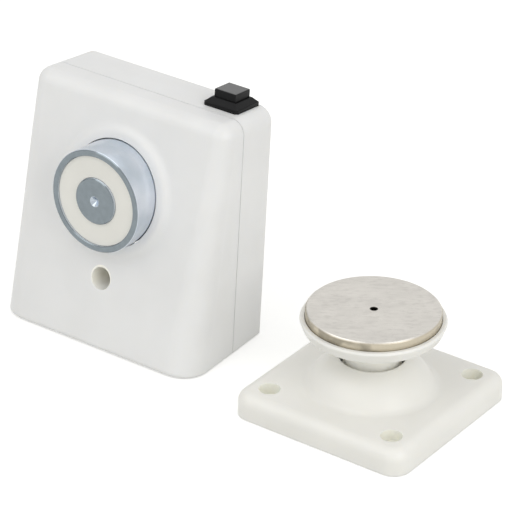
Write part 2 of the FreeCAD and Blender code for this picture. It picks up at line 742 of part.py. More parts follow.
diode = body("suppressor_diode", FRONT)
diode_z = "board_foot + board_h - 6"
diode_mid = f"{block_back} + 1.9"
diode_end = sketch(diode, "YZ_Plane", "diode_end", f"{BOARD_X} + 0.4")
circle(diode_end, diode_z, diode_mid, "1.4")
pad(diode, diode_end, "5.2", "diode_can")
wire = sketch(diode, "XZ_Plane", "diode_wire", f"-({diode_z} - 0.4)")
foot_a, leg_a = f"{BOARD_X} - 3", f"{BOARD_X} - 2.2"
foot_b, leg_b = f"{BOARD_X} + 9", f"{BOARD_X} + 8.2"
wire_low, wire_high = f"{diode_mid} - 0.4", f"{diode_mid} + 0.4"
polygon(wire, (
    (foot_a, block_back), (leg_a, block_back), (leg_a, wire_low), (leg_b, wire_low),
    (leg_b, block_back), (foot_b, block_back), (foot_b, wire_high), (foot_a, wire_high),
))
pad(diode, wire, "0.8", "diode_wire_pad", True)
node(diode, "suppressor_diode")

# Release switch, drawn with the case top at Z = 0

switch = body("switch_body", SWITCH)
flange = sketch(switch, "XY_Plane", "switch_flange")
half_w = "switch_flange_w / 2"
half_d = "switch_flange_d / 2"
polygon(flange, (
    (f"{half_w} - switch_corner", f"-{half_d}"), (half_w, f"-{half_d} + switch_corner"),
    (half_w, f"{half_d} - switch_corner"), (f"{half_w} - switch_corner", half_d),
    (f"-{half_w} + switch_corner", half_d), (f"-{half_w}", f"{half_d} - switch_corner"),
    (f"-{half_w}", f"-{half_d} + switch_corner"), (f"-{half_w} + switch_corner", f"-{half_d}"),
))
pad(switch, flange, "switch_flange_t", "switch_flange_pad")
bezel_low = rectangle(
    sketch(switch, "XY_Plane", "bezel_low", "switch_flange_t"),
    "0", "0", "switch_flange_w - 2 * bezel_inset", "switch_flange_d - 2 * bezel_inset",
)
bezel_high = rectangle(sketch(switch, "XY_Plane", "bezel_high", "bezel_h"), "0", "0", "bezel_w", "bezel_d")
bezel = switch.newObject("PartDesign::AdditiveLoft", "bezel")
bezel.Profile = bezel_low
bezel.Sections = [bezel_high]
bezel.Ruled = True
can = rectangle(sketch(switch, "XY_Plane", "switch_can"), "0", "0", "switch_w", "switch_w")
pad(switch, can, "switch_len", "switch_can_pad", True)
recess = rectangle(
    sketch(switch, "XY_Plane", "cap_recess", "bezel_h"),
    "0", "0", "cap_w + 2 * cap_play", "cap_d + 2 * cap_play",
)
pocket(switch, recess, "bezel_h - cap_floor", "cap_recess_cut")
passage = "plunger_w + 2 * cap_play"
opening = rectangle(sketch(switch, "XY_Plane", "switch_opening", "bezel_h"), "0", "0", passage, passage)
pocket(switch, opening, "bezel_h + 2", "switch_opening_cut")
room_w = "switch_w - 2 * switch_wall"
chamber = rectangle(sketch(switch, "XY_Plane", "switch_chamber", "-1"), "0", "0", room_w, room_w)
pocket(switch, chamber, "switch_len - switch_floor - 1", "switch_chamber_cut")
slots = sketch(switch, "XY_Plane", "switch_slots", "-switch_len - 1")
tab_x = "switch_w / 2 - switch_wall - 0.1 - tab_t / 2"
rectangle(slots, tab_x, "0", "tab_t", "tab_w")
rectangle(slots, f"-({tab_x})", "0", "tab_t", "tab_w")
pocket(switch, slots, "switch_floor + 2", "switch_slots_cut", True)
node(switch, "switch_body")

cap = body("release_button", SWITCH)
cap_top = rectangle(sketch(cap, "XY_Plane", "cap_outline", "cap_h"), "0", "0", "cap_w", "cap_d")
cap_pad = pad(cap, cap_top, "cap_h - cap_low", "cap_pad", True)
doc.recompute()
rims = [
    f"Edge{i}" for i, e in enumerate(cap_pad.Shape.Edges, 1)
    if all(abs(v.Z - num("cap_h")) < 1e-6 for v in e.Vertexes)
]
cap_edge = cap.newObject("PartDesign::Chamfer", "cap_edge")
cap_edge.Base = (cap_pad, rims)
cap_edge.Size = 0.3
plunger = rectangle(sketch(cap, "XY_Plane", "plunger", "cap_low"), "0", "0", "plunger_w", "plunger_w")
pad(cap, plunger, "cap_low + 1.4", "plunger_pad", True)
stop = rectangle(sketch(cap, "XY_Plane", "cap_stop", "-1.2"), "0", "0", "skirt_w", "skirt_w")
pad(cap, stop, "1.2", "cap_stop_pad", True)
stem = circle(sketch(cap, "XY_Plane", "stem", "-2"), "0", "0", "stem_r")
pad(cap, stem, "stem_end - 2", "stem_pad", True)
node(cap, "release_button")

bridge = body("contact_bridge", SWITCH)
bridge_face = sketch(bridge, "XY_Plane", "bridge_outline", "-bridge_top")
rectangle(bridge_face, "0", "0", "bridge_l", "bridge_w")
circle(bridge_face, "0", "0", "stem_r")
pad(bridge, bridge_face, "bridge_t", "bridge_pad", True)
node(bridge, "contact_bridge")

tabs = []
for side, sign in (("a", ""), ("b", "-")):
    tab = body(f"tab_{side}", SWITCH)
    tab_face = sketch(tab, "XZ_Plane", f"tab_{side}_outline", "-tab_w / 2")
    inner = f"({tab_x} - tab_t / 2)"
    outer_x = f"({tab_x} + tab_t / 2)"
    polygon(tab_face, (
        (f"{sign}{outer_x}", "-switch_len - tab_out"), (f"{sign}{outer_x}", "-bridge_top + tab_t"),
        (f"{sign}({inner} - contact_l)", "-bridge_top + tab_t"),
        (f"{sign}({inner} - contact_l)", "-bridge_top"),
        (f"{sign}{inner}", "-bridge_top"), (f"{sign}{inner}", "-switch_len - tab_out"),
    ))
    pad(tab, tab_face, "tab_w", f"tab_{side}_pad")
    tabs.append(tab)
node(group("switch_terminals", tabs), "switch_terminals")

spring = body("button_spring", SWITCH)
spring_low = "-switch_len + switch_floor"
spring_high = "-bridge_top - bridge_t"
wire_end = sketch(spring, "XZ_Plane", "spring_wire")
circle(wire_end, "coil_spring_r", f"{spring_low} + spring_wire_r", "spring_wire_r")
coil = spring.newObject("PartDesign::AdditiveHelix", "spring_coil")
coil.Profile = wire_end
coil.ReferenceAxis = (wire_end, ["V_Axis"])
coil.Mode = 2
bind(coil, Height=f"({spring_high}) - ({spring_low}) - 2 * spring_wire_r")
coil.Turns = 5
node(spring, "button_spring")

# Leads: coil to board, coil to switch, switch to board


def lead(name, start, way, straight, end, close):
    """A round lead in the front view: straight out of its start, then one bend to its end."""
    bend = start + way * straight
    reach = num("lead_reach")
    turn = [FRONT.multVec(p) for p in (bend, bend + way * reach, end - close * reach, end)]
    curve = Part.BezierCurve()
    curve.setPoles(turn)
    first = FRONT.multVec(start)
    path = Part.Wire([Part.makeLine(first, turn[0]), curve.toShape()])
    ring = Part.Wire([Part.makeCircle(num("lead_r"), first, FRONT.Rotation.multVec(way))])
    made = doc.addObject("Part::Feature", name)
    made.Shape = path.makePipeShell([ring], True, False)
    return node(made, name)


tab_reach = "(switch_len + tab_out)"
tab_low = num(f"case_h + switch_depth * tan(top_draft) - {tab_reach} * cos(top_draft)")
tab_deep = num(f"switch_depth + {tab_reach} * sin(top_draft)")
tab_near = V(num(f"{SWITCH_X} - ({tab_x})"), tab_low, tab_deep)
tab_far = V(num(f"{SWITCH_X} + {tab_x}"), tab_low, tab_deep)
pot_exit = V(num(f"{lead_ring} * sin(30)"), num(f"magnet_z - {lead_ring} * cos(30)"), num(pot_in))
pair = V(num("lead_r + lead_gap"), 0, 0)
board_mid = V(num(BOARD_X), num("board_foot + board_h - lead_edge"), num(block_back))
pad_near = board_mid - V(num("lead_pitch / 2"), 0, 0)
pad_far = board_mid + V(num("lead_pitch / 2"), 0, 0)
run = num("lead_run")
UPWARD = V(0, 1, 0)
OUTWARD = V(0, 0, 1)
behind_pot = num("pot_floor + lead_run")
lead("coil_lead_board", pot_exit - pair, -OUTWARD, behind_pot, pad_near, -OUTWARD)
lead("coil_lead_switch", pot_exit + pair, -OUTWARD, behind_pot, tab_near, UPWARD)
lead("switch_lead_board", tab_far, -UPWARD, run, pad_far, -OUTWARD)

# Keeper base

base = body("keeper_base", KEEPER)
plate = rectangle(sketch(base, "XY_Plane", "plate_outline"), "0", "0", "plate_w", "plate_w")
plate_pad = pad(base, plate, "plate_t", "plate_pad")
doc.recompute()
ups = [
    f"Edge{i}" for i, e in enumerate(plate_pad.Shape.Edges, 1)
    if abs(e.Vertexes[0].Z - e.Vertexes[1].Z) > 1
]
corner = base.newObject("PartDesign::Fillet", "plate_corners")
corner.Base = (plate_pad, ups)
bind(corner, Radius="plate_corner")
doc.recompute()
tops = [
    f"Edge{i}" for i, e in enumerate(corner.Shape.Edges, 1)
    if all(abs(v.Z - num("plate_t")) < 1e-6 for v in e.Vertexes)
]
rim_round = base.newObject("PartDesign::Fillet", "plate_rim")
rim_round.Base = (corner, tops)
bind(rim_round, Radius="plate_edge")
dome = ball(
    base, "AdditiveSphere", "dome", "dome_r", "-dome_drop",
    "asin((dome_drop + 1) / dome_r)", "asin((dome_top + dome_drop) / dome_r)",
)
doc.recompute()
dome_foot_r = num("sqrt(dome_r ^ 2 - (plate_t + dome_drop) ^ 2)")
feet = [
    f"Edge{i}" for i, e in enumerate(dome.Shape.Edges, 1)
    if hasattr(e.Curve, "Radius") and abs(e.Curve.Radius - dome_foot_r) < 1e-3
    and abs(e.Vertexes[0].Z - num("plate_t")) < 1e-3
]
foot_round = base.newObject("PartDesign::Fillet", "dome_foot_round")
foot_round.Base = (dome, feet)
bind(foot_round, Radius="dome_foot")
socket_r = "ball_r + 2 * bush_gap + bush_wall"
ball(base, "SubtractiveSphere", "socket", socket_r, "pivot_z")
mouth = circle(sketch(base, "XY_Plane", "mouth", "pivot_z"), "0", "0", "mouth_r")
pocket(base, mouth, "dome_top", "mouth_cut", True)
entry = circle(sketch(base, "XY_Plane", "ball_entry", "-1"), "0", "0", socket_r)
pocket(base, entry, "pivot_z + 1", "ball_entry_cut", True)
ring_seat = circle(sketch(base, "XY_Plane", "ring_seat", "-1"), "0", "0", "ring_r + 0.2")
pocket(base, ring_seat, "ring_top + 1", "ring_seat_cut", True)
hollow = sketch(base, "XY_Plane", "hollow", "-1")
polygon(hollow, (
    ("hollow_w", "-hollow_cut"), ("hollow_w", "hollow_cut"),
    ("hollow_cut", "hollow_w"), ("-hollow_cut", "hollow_w"),
    ("-hollow_w", "hollow_cut"), ("-hollow_w", "-hollow_cut"),
    ("-hollow_cut", "-hollow_w"), ("hollow_cut", "-hollow_w"),
))
circle(hollow, "0", "0", "hollow_r")
pocket(base, hollow, "hollow_depth + 1", "hollow_cut_out", True)
holes = sketch(base, "XY_Plane", "screw_holes", "-1")
bores = sketch(base, "XY_Plane", "screw_bores", "plate_t - bore_depth")
for across in ("hole_pitch / 2", "-hole_pitch / 2"):
    for along in ("hole_pitch / 2", "-hole_pitch / 2"):
        circle(holes, across, along, "hole_r")
        circle(bores, across, along, "bore_r")
pocket(base, holes, "plate_t + 2", "screw_holes_cut", True)
pocket(base, bores, "bore_depth + 1", "screw_bores_cut", True)
pilots = sketch(base, "XY_Plane", "ring_pilots", "ring_top - 1")
ring_spots = []
for index in range(3):
    angle = 120 * index + 30
    ring_spots.append((f"ring_screw_r * cos({angle})", f"ring_screw_r * sin({angle})"))
for across, along in ring_spots:
    circle(pilots, across, along, "ring_screw_d / 2 + pilot_gap")
pocket(base, pilots, "8", "ring_pilots_cut", True)
node(base, "keeper_base")

# Ball retainer with its three screws

ring = body("ball_retainer", KEEPER)
ring_face = circle(sketch(ring, "XY_Plane", "ring_outline", "ring_low"), "0", "0", "ring_r")
for across, along in ring_spots:
    circle(ring_face, across, along, "1.5")
pad(ring, ring_face, "ring_top - ring_low", "ring_pad")
ball(ring, "SubtractiveSphere", "ring_seat_cut_out", "ball_r + bush_gap", "pivot_z")
centre = circle(sketch(ring, "XY_Plane", "ring_bore", "0"), "0", "0", "7.6")
pocket(ring, centre, "ring_top", "ring_bore_cut", True)
sinks = sketch(ring, "XY_Plane", "ring_sinks", "0")
ring_screws = []
for index, (across, along) in enumerate(ring_spots, 1):
    circle(sinks, across, along, "2.7")
    spot = KEEPER.multiply(Place(V(num(across), num(along), num("ring_low + 1.7")), Turn(X_AXIS, 180)))
    name = f"retainer_screw_{index}"
    ring_screws.append(pan_screw(name, spot, "ring_screw_d / 2", "7", "2.5", "1.5", "cross"))
pocket(ring, sinks, "ring_low + 1.7", "ring_sinks_cut", True)
node(ring, "ball_retainer")
node(group("retainer_screws", ring_screws), "retainer_screws")

# Swivel bush and ball

bush = body("swivel_bush", KEEPER)
bush_r = "ball_r + bush_gap + bush_wall"
ball(bush, "AdditiveSphere", "bush_outside", bush_r, "pivot_z", "-bush_down", "bush_up")
ball(bush, "SubtractiveSphere", "bush_inside", "ball_r + bush_gap", "pivot_z")
node(bush, "swivel_bush")

knuckle = body("swivel_ball", KEEPER)
ball(knuckle, "AdditiveSphere", "knuckle", "ball_r", "pivot_z", "-asin(ball_cut / ball_r)", "90")
neck = circle(sketch(knuckle, "XY_Plane", "neck", "pivot_z"), "0", "0", "neck_r")
pad(knuckle, neck, "neck_top - pivot_z", "neck_pad")
stud_floor = "pivot_z - 4.7"
stud_bore = circle(sketch(knuckle, "XY_Plane", "stud_bore", "0"), "0", "0", "stud_r + 0.08")
pocket(knuckle, stud_bore, "neck_top + 1", "stud_bore_cut", True)
stud_sink = circle(sketch(knuckle, "XY_Plane", "stud_sink", "0"), "0", "0", "washer_r + 0.4")
pocket(knuckle, stud_sink, stud_floor, "stud_sink_cut", True)
node(knuckle, "swivel_ball")

# Keeper head: cup, armature plate, screw and washer

disc_low = "disc_top - disc_t"
cup_low = "neck_top + head_gap"
cup = turned("keeper_cup", (
    ("stud_r + 0.05", cup_low),
    ("neck_r + cup_foot", cup_low),
    ("cup_bend_r", "cup_bend_z"),
    ("cup_bend_r + 2.1", "cup_bend_z + 1.6"),
    ("cup_r", "cup_rim - 0.8"),
    ("cup_r - 0.5", "cup_rim"),
    ("disc_r + disc_play", "cup_rim"),
    ("disc_r + disc_play", disc_low),
    ("disc_r - cup_wall", disc_low),
    ("disc_r - cup_wall", "cup_bend_z + cup_wall + 0.6"),
    ("neck_r + cup_foot + 1", f"{cup_low} + cup_wall + 0.9"),
    ("cup_hub", f"{cup_low} + cup_wall + 0.9"),
    ("cup_hub", disc_low),
    ("stud_r + 0.05", disc_low),
), KEEPER)
node(cup, "keeper_cup")

disc = turned("armature_plate", (
    ("stud_r + 0.05", disc_low),
    ("disc_r - disc_edge", disc_low),
    ("disc_r", f"{disc_low} + disc_edge"),
    ("disc_r", "disc_top - disc_edge"),
    ("disc_r - disc_edge", "disc_top"),
    ("disc_hole + 0.3", "disc_top"),
    ("disc_hole", "disc_top - 0.3"),
    ("disc_hole", "disc_top - 1.4"),
    ("stud_r + 0.05", "disc_top - 1.4"),
), KEEPER)
node(disc, "armature_plate")

washer_low = f"{stud_floor} - 0.08 - washer_t"
stud = turned("armature_screw", (
    ("0", f"{washer_low} - stud_head_h + 1.6"),
    ("stud_r * 0.8", f"{washer_low} - stud_head_h + 1.6"),
    ("stud_r * 0.8", f"{washer_low} - stud_head_h"),
    ("stud_head_r - 0.3", f"{washer_low} - stud_head_h"),
    ("stud_head_r", f"{washer_low} - stud_head_h + 0.3"),
    ("stud_head_r", washer_low),
    ("stud_r", washer_low),
    ("stud_r", "disc_top - 1.9"),
    ("0", "disc_top - 1.9"),
), KEEPER)
node(stud, "armature_screw")

stud_washer = turned("armature_washer", (
    ("stud_r + 0.05", washer_low),
    ("washer_r", washer_low),
    ("washer_r", f"{washer_low} + washer_t"),
    ("stud_r + 0.05", f"{washer_low} + washer_t"),
), KEEPER)
node(stud_washer, "armature_washer")

# Checks and export

doc.recompute()
for thing in doc.Objects:
    if "Invalid" in thing.State or "Error" in thing.State:
        raise RuntimeError(f"{thing.Name} did not build: {thing.State}")
os.makedirs("parts", exist_ok=True)
for thing in NODES:
    shape = thing.Shape
    if shape.isNull() or not shape.isValid():
        raise RuntimeError(f"{thing.Label} has no valid shape")
    if not shape.Solids:
        raise RuntimeError(f"{thing.Label} has no solid")
    shape.exportStep(f"parts/{thing.Label}.step")
    print(thing.Label, len(shape.Solids), round(shape.Volume, 1))
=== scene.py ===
import json
import math

import bpy
from mathutils import Matrix, Vector


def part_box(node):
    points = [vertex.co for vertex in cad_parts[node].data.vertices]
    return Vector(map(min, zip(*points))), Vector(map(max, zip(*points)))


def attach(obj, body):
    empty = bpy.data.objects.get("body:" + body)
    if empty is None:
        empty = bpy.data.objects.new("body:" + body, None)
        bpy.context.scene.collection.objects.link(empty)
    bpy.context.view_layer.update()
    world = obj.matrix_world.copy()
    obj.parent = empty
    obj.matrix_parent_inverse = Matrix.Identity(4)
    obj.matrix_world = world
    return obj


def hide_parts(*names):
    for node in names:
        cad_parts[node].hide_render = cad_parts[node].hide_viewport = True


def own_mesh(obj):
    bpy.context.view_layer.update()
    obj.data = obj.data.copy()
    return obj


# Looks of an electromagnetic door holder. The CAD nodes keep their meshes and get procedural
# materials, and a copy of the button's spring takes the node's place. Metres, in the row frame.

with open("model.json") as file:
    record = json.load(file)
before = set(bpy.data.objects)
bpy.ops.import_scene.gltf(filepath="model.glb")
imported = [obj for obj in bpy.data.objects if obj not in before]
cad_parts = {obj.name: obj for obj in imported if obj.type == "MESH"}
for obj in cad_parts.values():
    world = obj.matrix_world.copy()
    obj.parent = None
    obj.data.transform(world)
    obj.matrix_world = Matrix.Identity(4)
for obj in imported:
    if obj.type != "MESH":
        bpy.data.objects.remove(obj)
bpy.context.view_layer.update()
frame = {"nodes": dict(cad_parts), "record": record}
nodes = frame["nodes"]
scene = bpy.context.scene
MM = 0.001

# Places read from the frame

mounts = {m["name"]: m for m in frame["record"]["mounts"]}
joints = {j["name"]: j for j in frame["record"]["behaviour"]["joints"]}


def middle(node):
    """The middle of the node's box."""
    low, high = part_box(node)
    return (Vector(low) + Vector(high)) / 2


def reach(node, axis):
    """How far the node goes along an axis through the origin."""
    return max(v.co.dot(axis) for v in nodes[node].data.vertices)


MAGNET_AXIS = -Vector(mounts["wall_face"]["axis"])
LEAN = math.atan2(MAGNET_AXIS.z, -MAGNET_AXIS.y)
MAGNET_CENTRE = middle("magnet_core")
POLE_FACE = reach("magnet_pot", MAGNET_AXIS)
SCREW_CENTRE = middle("cover_screw")
KEEPER_CENTRE = Vector(mounts["keeper_fixing"]["pos_m"])
HOLE_SPACING = mounts["keeper_fixing"]["dims"]["spacing_x_mm"] * MM
PLATE_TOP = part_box("armature_plate")[1][2]
PRESS_AXIS = -Vector(joints["button_press"]["axis"])
CAP_TOP = reach("release_button", PRESS_AXIS)

# Radii of the places that a material tells apart

PIT_RADIUS = 1.95 * MM
RECESS_RADIUS = 4.6 * MM
BORE_RADIUS = 4.0 * MM
DISC_HOLE_RADIUS = 1.45 * MM


class Tree:
    """The node tree of one material, with short calls for what the materials share."""

    def __init__(self, name):
        self.material = bpy.data.materials.new(name)
        self.material.use_nodes = True
        self.tree = self.material.node_tree
        self.tree.nodes.clear()
        output = self.add("ShaderNodeOutputMaterial")
        self.shader = self.add("ShaderNodeBsdfPrincipled")
        self.link(self.shader.outputs["BSDF"], output.inputs["Surface"])

    def add(self, kind, **settings):
        made = self.tree.nodes.new(kind)
        for name, value in settings.items():
            setattr(made, name, value)
        return made

    def link(self, source, target):
        self.tree.links.new(source, target)

    def feed(self, target, value):
        """Links a socket, or sets a plain value."""
        if isinstance(value, bpy.types.NodeSocket):
            self.link(value, target)
        else:
            target.default_value = value

    def fix(self, **values):
        """Sets the shader's own sockets, with _ for a space in their names."""
        for name, value in values.items():
            self.shader.inputs[name.replace("_", " ")].default_value = value

    def place(self):
        """The point in the row frame, in metres."""
        return self.add("ShaderNodeTexCoord").outputs["Object"]

    def around(self, centre, tilt=0.0, spin=0.0):
        """The point from a centre, with axes tilted about X or spun about Z."""
        mapping = self.add("ShaderNodeMapping", vector_type="TEXTURE")
        mapping.inputs["Location"].default_value = centre
        mapping.inputs["Rotation"].default_value = (tilt, 0, spin)
        self.link(self.place(), mapping.inputs["Vector"])
        return mapping.outputs["Vector"]

    def stretched(self, vector, scale):
        mapping = self.add("ShaderNodeMapping")
        mapping.inputs["Scale"].default_value = scale
        self.link(vector, mapping.inputs["Vector"])
        return mapping.outputs["Vector"]

    def math(self, operation, a, b=0.0):
        made = self.add("ShaderNodeMath", operation=operation)
        self.feed(made.inputs[0], a)
        self.feed(made.inputs[1], b)
        return made.outputs[0]

    def length(self, a, b):
        squares = (self.math("MULTIPLY", side, side) for side in (a, b))
        return self.math("SQRT", self.math("ADD", *squares))

    def vector(self, x=0.0, y=0.0, z=0.0):
        made = self.add("ShaderNodeCombineXYZ")
        for target, value in zip(made.inputs, (x, y, z)):
            self.feed(target, value)
        return made.outputs[0]

    def split(self, vector):
        made = self.add("ShaderNodeSeparateXYZ")
        self.link(vector, made.inputs[0])
        return made.outputs

    def dot(self, vector, axis):
        made = self.add("ShaderNodeVectorMath", operation="DOT_PRODUCT")
        self.link(vector, made.inputs[0])
        made.inputs[1].default_value = axis
        return made.outputs["Value"]

    def noise(self, vector, size, detail=2.0, rough=0.5):
        """Noise whose features are about size across."""
        made = self.add("ShaderNodeTexNoise")
        made.inputs["Scale"].default_value = 1 / size
        made.inputs["Detail"].default_value = detail
        made.inputs["Roughness"].default_value = rough
        self.link(vector, made.inputs["Vector"])
        return made.outputs["Fac"]

    def spread(self, value, low, high, to_low=0.0, to_high=1.0):
        """A value from one span to another, held at its ends."""
        made = self.add("ShaderNodeMapRange")
        self.link(value, made.inputs["Value"])
        spans = {"From Min": low, "From Max": high, "To Min": to_low, "To Max": to_high}
        for name, number in spans.items():
            made.inputs[name].default_value = number
        return made.outputs["Result"]

    def colours(self, fac, first, second):
        """First where fac is 0, second where it is 1."""
        made = self.add("ShaderNodeMix", data_type="RGBA")
        self.link(fac, made.inputs["Factor"])
        for name, colour in (("A", first), ("B", second)):
            target = next(s for s in made.inputs if s.name == name and s.type == "RGBA")
            plain = not isinstance(colour, bpy.types.NodeSocket)
            self.feed(target, (*colour, 1) if plain else colour)
        return next(s for s in made.outputs if s.type == "RGBA")

    def bump(self, *layers):
        """Bumps on top of each other, each a height field and its depth in metres."""
        below = None
        for height, depth in layers:
            made = self.add("ShaderNodeBump")
            made.inputs["Strength"].default_value = 1
            made.inputs["Distance"].default_value = depth
            self.link(height, made.inputs["Height"])
            if below is not None:
                self.link(below, made.inputs["Normal"])
            below = made.outputs["Normal"]
        self.link(below, self.shader.inputs["Normal"])

    def finish(self, colour, rough, metal=0.0):
        self.feed(self.shader.inputs["Base Color"], colour)
        self.feed(self.shader.inputs["Roughness"], rough)
        self.fix(Metallic=metal)
        return self.material


def shade(colour, factor):
    return tuple(channel * factor for channel in colour)


# Materials. A noise lies mostly between 0.3 and 0.7, so a span of it says how hard its edges are.

SOFT = (0.3, 0.7)
MIDDLING = (0.35, 0.65)
UPPER = (0.5, 0.7)

SCATTER_COLOUR = (1.0, 0.95, 0.85)
SCATTER_DEPTH = 2.5 * MM
HOLE_BLEND = 0.3 * MM
TOP_PALE_FROM, TOP_PALE_FULL = 0.22 * MM, 0.08 * MM


def moulded(name, colour, tone=0.03, grain=0.35 * MM, depth=0.004 * MM, rough=(0.34, 0.46),
            gloss=0.5, glow=0.0, face_tone=None, hole=None):
    """Moulded plastic: slow drift of tone, fine spark texture and dull patches.

    face_tone, for a paler top, is an axis, a height along it and the paler colour; hole gives the
    distance from a hole's axis, the hole's radius and the colour of its wall, a painted light
    paler than the moulding.
    """
    t = Tree(name)
    point = t.place()
    drift = t.spread(t.noise(point, size=28 * MM, detail=3), *MIDDLING)
    fine = t.noise(point, size=grain, rough=0.6)
    dull = t.spread(t.noise(point, size=9 * MM, detail=4), *SOFT, *rough)
    tint = t.colours(drift, shade(colour, 1 - tone), shade(colour, 1 + tone / 3))
    # The top face along the given axis gets a paler colour.
    if face_tone is not None:
        axis, top, pale = face_tone
        on_top = t.spread(t.dot(point, axis), top - TOP_PALE_FROM, top - TOP_PALE_FULL)
        tint = t.colours(on_top, tint, t.colours(drift, shade(pale, 0.85), pale))
    # Painted light: within a hole's radius the wall colour, paler than the moulding, replaces the
    # tint.
    if hole is not None:
        across, radius, wall = hole(t)
        tint = t.colours(t.spread(across, radius, radius + HOLE_BLEND), wall, tint)
    t.bump((fine, depth))
    t.fix(Specular_IOR_Level=gloss, Subsurface_Weight=glow, Subsurface_Radius=SCATTER_COLOUR,
          Subsurface_Scale=SCATTER_DEPTH)
    return t.finish(tint, dull)


def screw_recess(t):
    """The cover screw's recess, whose wall gets a paler colour as painted light inside it."""
    x, _, z = t.split(t.around(SCREW_CENTRE, -LEAN))
    return t.length(x, z), RECESS_RADIUS, RECESS_WALL_PAINTED_LIGHT


def keeper_holes(t):
    """The keeper base's four counterbores, which mirror each other; their walls get a paler
    colour as painted light inside them.
    """
    x, y, _ = t.split(t.around(KEEPER_CENTRE))
    sides = (t.math("SUBTRACT", t.math("ABSOLUTE", side), HOLE_SPACING / 2) for side in (x, y))
    return t.length(*sides), BORE_RADIUS, BORE_WALL_PAINTED_LIGHT


FACE_FROM, FACE_FULL = 0.5 * MM, 0.3 * MM
PIT_BLEND = 0.2 * MM


def plated(name, bright, dark, hue, centre, axis, tilt, face, pit, rough=(0.14, 0.24)):
    """Plated steel turned about an axis: clouds of another hue in the plating, fine turning
    marks, and a dark end face round a centre pit. The end face's dark is a painted reflection,
    mottled, and the pit is painted in shade."""
    t = Tree(name)
    local = t.around(centre, tilt)
    x, y, z = t.split(local)
    radius = t.length(x, z)
    turning = t.noise(t.vector(radius, y), size=0.12 * MM, detail=3, rough=0.7)
    clouds = t.noise(local, size=13 * MM)
    streaks = t.noise(t.stretched(local, (1, 0.25, 1)), size=3.5 * MM, detail=3)
    reflection_mottle = t.noise(local, size=2.2 * MM, detail=4)
    patches = t.noise(local, size=2.5 * MM, detail=4)
    plate = t.colours(t.spread(clouds, *MIDDLING), bright, hue)
    plate = t.colours(t.spread(streaks, 0.5, 0.75, to_high=0.16), plate, shade(bright, 0.78))
    past_pit = t.spread(radius, pit, pit + PIT_BLEND)
    # Painted reflection: the end face gets the dark colour, mottled, where flat plating mirrors
    # dark surroundings.
    near_face = t.spread(t.dot(t.place(), axis), face - FACE_FROM, face - FACE_FULL)
    is_face = t.math("MULTIPLY", near_face, past_pit)
    face_tone = t.colours(t.spread(reflection_mottle, 0.3, 0.75), dark, shade(dark, 1.15))
    # Painted shade: inside the centre pit the plating is a quarter darker than the bright
    # plating.
    plate = t.colours(past_pit, shade(bright, 0.75), t.colours(is_face, plate, face_tone))
    t.bump((turning, 0.0022 * MM))
    return t.finish(plate, t.spread(patches, *SOFT, *rough), metal=1.0)


TOP_FROM, TOP_FULL = 0.5 * MM, 0.1 * MM
DISC_HOLE_BLEND = 0.15 * MM
EDGE_TINT = (0.80, 0.75, 0.64)


def nickel(name, colour, hole, top, centre, grain=36, rough=(0.24, 0.4)):
    """Ground and nickel-plated plate: fine lines one way, faint scratches and specks, a warmer
    edge band with dark arcs of painted reflection, and a centre hole painted dark as shade. grain
    is the lines' angle from X, in degrees."""
    t = Tree(name)
    local = t.around(centre, spin=math.radians(grain))
    x, y, _ = t.split(local)
    height = t.split(t.place())[2]
    lines = t.noise(t.stretched(local, (0.04, 1, 1)), size=0.16 * MM, detail=4, rough=0.65)
    hairs = t.noise(t.stretched(local, (0.06, 1.4, 1)), size=1.1 * MM, detail=3)
    scores = t.noise(t.stretched(local, (0.08, 1.2, 1)), size=0.7 * MM, detail=1)
    scratches = t.spread(scores, 0.68, 0.74)
    specks = t.noise(t.stretched(local, (0.5, 1, 1)), size=1.5 * MM, detail=3)
    clouds = t.noise(local, size=8 * MM, detail=3)
    reflection_mottle = t.noise(local, size=11 * MM)
    plate = t.colours(t.spread(clouds, *SOFT), shade(colour, 0.96), shade(colour, 1.05))
    plate = t.colours(t.spread(hairs, *UPPER, to_high=0.26), plate, shade(colour, 0.8))
    plate = t.colours(t.spread(specks, *UPPER, to_high=0.42), plate, shade(colour, 0.76))
    plate = t.colours(t.math("MULTIPLY", scratches, 0.3), plate, shade(colour, 0.6))
    # Painted reflection: below the top the edge band gets a warmer tint with dark arcs, the arcs
    # standing for dark surroundings mirrored in the rim.
    warm = tuple(channel * share for channel, share in zip(colour, EDGE_TINT))
    edge = t.colours(t.spread(reflection_mottle, 0.5, 0.6, to_high=0.75), warm, shade(warm, 0.45))
    plate = t.colours(t.spread(height, top - TOP_FROM, top - TOP_FULL), edge, plate)
    # Painted shade: the centre hole's wall is near black.
    past_hole = t.spread(t.length(x, y), DISC_HOLE_RADIUS, DISC_HOLE_RADIUS + DISC_HOLE_BLEND)
    plate = t.colours(past_hole, hole, plate)
    t.bump((lines, 0.002 * MM), (scratches, 0.003 * MM))
    return t.finish(plate, t.spread(lines, *SOFT, *rough), metal=1.0)


WAVE_RADIANS = 20  # that Blender's wave texture counts for a length of 1 at a scale of 1


def wound(name, colour, centre, tilt, wire=0.35 * MM):
    """Enamelled wire: close turns side by side."""
    t = Tree(name)
    local = t.around(centre, tilt)
    wave = t.add("ShaderNodeTexWave", wave_type="BANDS", bands_direction="Y", wave_profile="SIN")
    wave.inputs["Scale"].default_value = math.tau / wire / WAVE_RADIANS
    wave.inputs["Distortion"].default_value = 0.6
    t.link(local, wave.inputs["Vector"])
    turns = wave.outputs["Fac"]
    patches = t.noise(local, size=2 * MM)
    t.bump((turns, 0.1 * MM))
    t.fix(Coat_Weight=0.5)
    # Painted shade: the colour is darker between the turns.
    tint = t.colours(turns, shade(colour, 0.55), colour)
    return t.finish(tint, t.spread(patches, *SOFT, 0.25, 0.4), metal=0.8)


TRACKS = {"Scale": 1.0, "Mortar Size": 0.55 * MM, "Brick Width": 6.4 * MM, "Row Height": 3.2 * MM}


